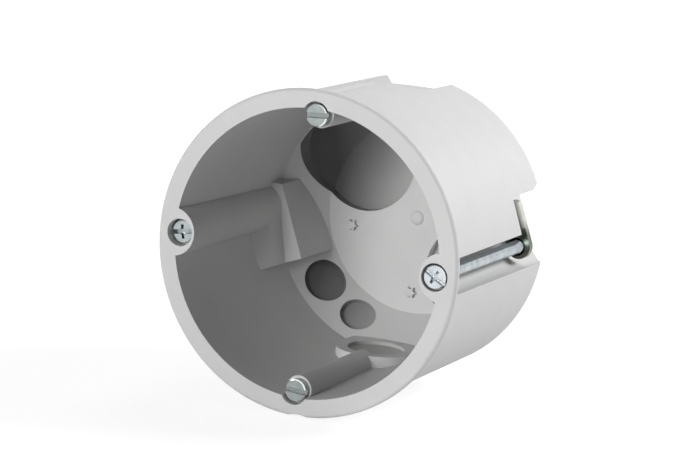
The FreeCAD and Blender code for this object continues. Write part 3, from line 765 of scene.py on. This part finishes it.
@dataclass
class MouldedBox:
    """The thick-walled moulding, with painted shade on the webs of its knock-out pockets.

    The room ends in a floor of floor_radius at floor_depth, inside a cone whose foot has
    foot_radius and lies at foot_depth. A conduit pocket is given by the distance and angle
    of its axis. Its web lies at web_level out to web_flat and follows the cone from there.
    A cable pocket in the cone is given by its radius and angle, and a pad pocket by its
    middle along the depth, its radius and its level. slack is room for rounding.
    """

    node: str = "back_box"
    body: str = "box"
    web_skin: float = 0.03 * MM
    shade_angle: float = 30.0
    wall_slope: float = 0.3
    slack: float = 0.04 * MM
    floor_depth: float = 58.0 * MM
    web_level: float = 60.7 * MM
    web_flat: float = 22.8 * MM
    web_slope: float = 15.4 / 13.2
    conduit_front: float = 48.0 * MM
    conduit_radius: float = 12.4 * MM
    conduits: tuple[tuple[float, float], ...] = ((18.36 * MM, 139.2), (19.26 * MM, -35.9))
    foot_radius: float = 30.2 * MM
    foot_depth: float = 47.2 * MM
    floor_radius: float = 22.3 * MM
    cable_depth: float = 53.0 * MM
    cable_sink: float = 1.2 * MM
    cables: tuple[tuple[float, float], ...] = ((5.05 * MM, 138.6), (4.2 * MM, 113.9))
    pad_centre: float = 41.3 * MM
    pad_radius: float = 6.5 * MM
    pad_level: float = 27.7 * MM
    pad_sink: float = 0.8 * MM

    def build(self) -> None:
        """Dress the moulding and line its knock-out pockets with a skin of painted shade."""
        SHELL.dress(node_of(self.node))
        LOG.info("dressed %s", self.node)
        webs = self._webs()
        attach(webs, self.body)
        LOG.info("lined %s, %d faces", webs.name, len(webs.data.polygons))

    def _webs(self) -> bpy.types.Object:
        """Lay a thin skin on the walls and webs of the knock-out pockets, which carries their
        painted shade.

        Returns:
            The skin, one piece for all pockets.
        """
        source = node_of(self.node)
        webs = source.copy()
        webs.data = source.data.copy()
        webs.name = "web_shade_skin"
        bpy.context.scene.collection.objects.link(webs)
        webs.data.materials.clear()
        choose(webs)
        bpy.ops.mesh.customdata_custom_splitnormals_clear()
        pockets = self._pockets()
        with editing(webs, Pick.FACES):
            bpy.ops.mesh.remove_doubles(threshold=WELD)
            select_where(webs, Pick.FACES, lambda middle: not self._on_web(middle, pockets))
            bpy.ops.mesh.delete(type="FACE")
        skin = webs.modifiers.new("skin", "SOLIDIFY")
        skin.thickness = self.web_skin
        skin.offset = 1.0
        apply_all(webs)
        shade(webs, self.shade_angle)
        for finish in (WEB_PAINTED_SHADE, WEB_WALL_PAINTED_SHADE):
            webs.data.materials.append(finish.material())
        for face in webs.data.polygons:
            level = abs(face.normal.y) > self.wall_slope
            on_pad = abs(face.center.z) > self.pad_level
            face.material_index = 0 if level or on_pad else 1
        return webs

    def _pockets(self) -> list[RoundPocket]:
        """Give the cable and pad pockets, each with its half-turned twin.

        Returns:
            The pockets.
        """
        depth = Vector((0.0, 1.0, 0.0))
        up = Vector((0.0, 0.0, 1.0))
        run = Vector((self.floor_radius - self.foot_radius,
                      self.floor_depth - self.foot_depth, 0.0))
        square = Vector((run.y, -run.x, 0.0)).normalized()
        share = (self.cable_depth - self.foot_depth) / run.y
        middle = Vector((self.foot_radius, self.foot_depth, 0.0)) + run * share
        found = []
        for radius, angle in self.cables:
            turn = Matrix.Rotation(math.radians(angle), 3, depth)
            found.append(RoundPocket(turn @ middle, turn @ square, radius + self.slack,
                                     self.slack, self.cable_sink + self.slack))
        found.append(RoundPocket(depth * self.pad_centre, up, self.pad_radius + self.slack,
                                 self.pad_level + self.slack,
                                 self.pad_level + self.pad_sink + self.slack))
        half = Matrix.Rotation(math.pi, 3, depth)
        twins = [replace(one, centre=half @ one.centre, way=half @ one.way) for one in found]
        return found + twins

    def _on_web(self, place: Vector, pockets: list[RoundPocket]) -> bool:
        """Tell whether a place lies in a knock-out pocket, on the side of the room.

        Args:
            place: The middle of a face.
            pockets: The cable and pad pockets.

        Returns:
            Whether the face belongs to a web.
        """
        reach = math.hypot(place.x, place.z)
        level = self.web_level - max(reach - self.web_flat, 0.0) * self.web_slope
        if self.conduit_front < place.y < level + self.slack:
            for distance, angle in self.conduits:
                turn = math.radians(angle)
                aside = math.hypot(place.x - distance * math.cos(turn),
                                   place.z - distance * math.sin(turn))
                if aside < self.conduit_radius + self.slack:
                    return True
        return any(pocket.holds(place) for pocket in pockets)


@dataclass(frozen=True)
class ScrewForm:
    """The sizes of one kind of screw.

    slot_reach is the length of the slot's cutter in head radii. slot_share, cross_share
    and core_share are the shares of a recess's length and width that are left at its floor.
    flank_share, crest_share and root_share are shares of the pitch. The thread is rolled
    from lead_turns before its start and spare_turns too long, and is then cut to length.
    """

    slot_name: str
    head_radius: float
    head_height: float
    slot_width: float
    slot_depth: float
    slot_reach: float = 3.0
    slot_share: float = 0.94
    cross_length: float = 0.0
    cross_width: float = 0.65 * MM
    cross_depth: float = 1.15 * MM
    cross_share: float = 0.72
    core_radius: float = 0.85 * MM
    core_depth: float = 1.5 * MM
    core_share: float = 0.45
    core_sides: int = 24
    head_sides: int = 72
    rim_bevel: float = 0.22 * MM
    edge_width: float = 0.05 * MM
    edge_angle: float = 60.0
    shank_radius: float = 1.49 * MM
    root_radius: float = 1.21 * MM
    pitch: float = 0.5 * MM
    flank_share: float = 0.42
    crest_share: float = 0.12
    root_share: float = 0.04
    turn_steps: int = 20
    lead_turns: int = 2
    spare_turns: int = 3
    tip_bevel: float = 0.45 * MM
    tip_slack: float = 0.02 * MM
    tip_sides: int = 40


DEVICE_SCREW = ScrewForm("device_screw", head_radius=2.5 * MM, head_height=2.0 * MM,
                         slot_width=1.2 * MM, slot_depth=1.0 * MM)
CLAW_SCREW = ScrewForm("claw_screw", head_radius=2.58 * MM, head_height=1.7 * MM,
                       slot_width=1.0 * MM, slot_depth=0.9 * MM, cross_length=3.2 * MM)


@dataclass
class Screw:
    """A zinc plated screw with a slotted head and a real thread."""

    node: str
    body: str
    form: ScrewForm
    finish: Finish
    turn: float

    def build(self) -> None:
        """Model the screw, dress it and put it in the node's place."""
        low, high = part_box(self.node)
        length = high.y - low.y
        piece = self._head()
        combine(piece, self._shank(length), Join.ADD)
        with editing(piece, Pick.EDGES):
            select_sharp(piece, self.form.edge_angle,
                         lambda place: place.y < self.form.head_height - WELD)
            bpy.ops.mesh.bevel(offset=self.form.edge_width, segments=1, affect="EDGES",
                               clamp_overlap=True)
        piece.name = "threaded_" + self.node
        piece.data.materials.clear()
        self.finish.dress(piece)
        # painted highlight on the head's chamfer
        paint_edge_highlights(piece, lambda middle: middle.y < self.form.rim_bevel)
        settle(piece, ((low.x + high.x) / 2, low.y, (low.z + high.z) / 2), self.turn)
        shade(piece, STEEL_SHADE_ANGLE)
        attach(piece, self.body)
        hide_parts(self.node)
        LOG.info("threaded %s, %d faces", piece.name, len(piece.data.polygons))

    def _head(self) -> bpy.types.Object:
        """Turn the head and sink its slot and cross.

        Returns:
            The head.
        """
        form = self.form
        head = bar(form.head_radius, 0.0, form.head_height, sides=form.head_sides)
        chamfer_face(head, form.rim_bevel, lambda middle: middle.y < WELD)
        slot = tapered_block(form.slot_reach * form.head_radius, form.slot_width,
                             form.slot_depth, form.slot_share)
        combine(head, slot, Join.CUT)
        if form.cross_length:
            arm = tapered_block(form.cross_width, form.cross_length, form.cross_depth,
                                form.cross_share)
            combine(head, arm, Join.CUT)
            core = bar(form.core_radius, -LEAD, form.core_depth, sides=form.core_sides)
            narrow_end(core, form.core_depth, form.core_share)
            combine(head, core, Join.CUT)
        return head

    def _shank(self, length: float) -> bpy.types.Object:
        """Roll the threaded shank.

        Args:
            length: The length of the whole screw.

        Returns:
            The shank, from inside the head to the tip.
        """
        form = self.form
        deselect_all()
        bpy.ops.mesh.primitive_plane_add(size=form.pitch)
        shank = bpy.context.object
        rise = form.shank_radius - form.root_radius
        flank, crest, root = (share * form.pitch for share in (
            form.flank_share, form.crest_share, form.root_share))
        with editing(shank, Pick.POINTS):
            bpy.ops.mesh.merge(type="CENTER")
            bpy.ops.transform.translate(value=(form.root_radius, 0.0, 0.0))
            for out, along in ((rise, flank), (0.0, crest), (-rise, flank), (0.0, root)):
                bpy.ops.mesh.extrude_region_move(
                    TRANSFORM_OT_translate={"value": (out, along, 0.0)})
        turns = shank.modifiers.new("turns", "SCREW")
        turns.axis = "Y"
        turns.steps = turns.render_steps = form.turn_steps
        turns.screw_offset = form.pitch
        turns.iterations = math.ceil(length / form.pitch) + form.spare_turns
        apply_all(shank)
        start = form.head_height / 2
        with editing(shank, Pick.FACES):
            bpy.ops.mesh.remove_doubles(threshold=WELD)
            bpy.ops.transform.translate(
                value=(0.0, start - form.lead_turns * form.pitch, 0.0))
            for level, way in ((start, -1.0), (length, 1.0)):
                bpy.ops.mesh.select_all(action="SELECT")
                bpy.ops.mesh.bisect(plane_co=(0.0, level, 0.0), plane_no=(0.0, way, 0.0),
                                    use_fill=True, clear_outer=True, threshold=CUT_SNAP)
            bpy.ops.mesh.select_all(action="SELECT")
            bpy.ops.mesh.normals_make_consistent(inside=False)
        combine(shank, self._tip(start, length), Join.KEEP_SHARED)
        return shank

    def _tip(self, start: float, end: float) -> bpy.types.Object:
        """Make the envelope that bevels the tip of the shank.

        Args:
            start: Where the shank starts.
            end: Where it ends.

        Returns:
            The envelope.
        """
        form = self.form
        envelope = bar(form.shank_radius + form.tip_slack, start - MM, end,
                       sides=form.tip_sides)
        chamfer_face(envelope, form.tip_bevel, lambda middle: middle.y > end - WELD)
        return envelope


@dataclass
class Claw:
    """A flat steel arm with a drawn collar, threaded on its screw.

    The arm runs from a round ear about the screw out to reach, and shift sets it aside of
    the screw's axis. funnel widens the front of its bore.
    """

    node: str
    body: str
    pivot: float
    turn: float
    width: float = 5.6 * MM
    shift: float = 0.4 * MM
    reach: float = 10.3 * MM
    thickness: float = 1.7 * MM
    corner: float = 1.7 * MM
    corner_segments: int = 8
    ear_segments: int = 14
    collar_radius: float = 2.25 * MM
    collar_length: float = 0.9 * MM
    bore_radius: float = 1.56 * MM
    funnel: float = 0.45 * MM
    edge_width: float = 0.28 * MM
    edge_angle: float = 60.0
    edge_segments: int = 3

    def build(self) -> None:
        """Model the claw, dress it and put it in the node's place."""
        low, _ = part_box(self.node)
        piece = self._arm()
        back = self.thickness + self.collar_length
        combine(piece, bar(self.collar_radius, self.thickness / 2, back), Join.ADD)
        combine(piece, bar(self.bore_radius, -LEAD, back + LEAD), Join.CUT)
        mouth_radius = self.bore_radius + self.funnel + LEAD
        mouth = bar(mouth_radius, -LEAD, self.funnel)
        narrow_end(mouth, self.funnel, self.bore_radius / mouth_radius)
        combine(piece, mouth, Join.CUT)
        piece.name = "pressed_" + self.node
        piece.data.materials.clear()
        CLAW_STEEL_PAINTED_LIGHT.dress(piece)
        around = self.collar_radius + self.edge_width
        # painted highlight on the arm's bevelled edges
        paint_edge_highlights(piece, lambda middle: math.hypot(middle.x, middle.z) > around)
        settle(piece, (self.pivot, low.y, 0.0), self.turn)
        shade(piece, STEEL_SHADE_ANGLE)
        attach(piece, self.body)
        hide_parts(self.node)
        LOG.info("pressed %s, %d faces", piece.name, len(piece.data.polygons))

    def _arm(self) -> bpy.types.Object:
        """Press the flat arm, round at the ear and with two rounded corners at the tip.

        Returns:
            The arm, its pivot at the origin and its front face on the front plane.
        """
        deselect_all()
        bpy.ops.mesh.primitive_plane_add(size=1.0, rotation=(math.radians(90.0), 0.0, 0.0))
        arm = bpy.context.object
        keep_place()
        ear = self.width / 2
        with editing(arm, Pick.POINTS):
            bpy.ops.transform.resize(value=(self.reach + ear, 1.0, self.width))
            bpy.ops.transform.translate(value=((self.reach - ear) / 2, 0.0, -self.shift))
            select_where(arm, Pick.POINTS, lambda place: place.x < 0.0)
            bpy.ops.mesh.bevel(offset=ear - WELD, segments=self.ear_segments,
                               affect="VERTICES")
            select_where(arm, Pick.POINTS, lambda place: place.x > self.reach - WELD)
            bpy.ops.mesh.bevel(offset=self.corner, segments=self.corner_segments,
                               affect="VERTICES")
            bpy.ops.mesh.select_all(action="SELECT")
            bpy.ops.mesh.remove_doubles(threshold=2 * WELD)
            bpy.ops.mesh.extrude_region_move(
                TRANSFORM_OT_translate={"value": (0.0, self.thickness, 0.0)})
            bpy.ops.mesh.select_all(action="SELECT")
            bpy.ops.mesh.normals_make_consistent(inside=False)
            select_sharp(arm, self.edge_angle, lambda _: True)
            bpy.ops.mesh.bevel(offset=self.edge_width, segments=self.edge_segments,
                               affect="EDGES")
        return arm


def main() -> None:
    """Build the studio and every piece in order."""
    logging.basicConfig(level=logging.INFO)
    lowest = min(corner.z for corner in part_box("back_box"))
    Camera().build()
    Studio(floor_level=lowest).build()
    MouldedBox().build()
    for screw in (
        Screw("device_screw_top", "top_device_screw", DEVICE_SCREW, ZINC, turn=-4.4),
        Screw("device_screw_bottom", "bottom_device_screw", DEVICE_SCREW, ZINC, turn=3.0),
        Screw("claw_screw_right", "right_claw_screw", CLAW_SCREW, ZINC_PAINTED_HIGHLIGHT, turn=30.0),
        Screw("claw_screw_left", "left_claw_screw", CLAW_SCREW, ZINC_PAINTED_REFLECTION, turn=-9.0),
    ):
        screw.build()
    for claw in (
        Claw("claw_right", "right_claw", pivot=30.3 * MM, turn=-111.4),
        Claw("claw_left", "left_claw", pivot=-30.3 * MM, turn=68.6),
    ):
        claw.build()


if __name__ == "__main__":
    main()
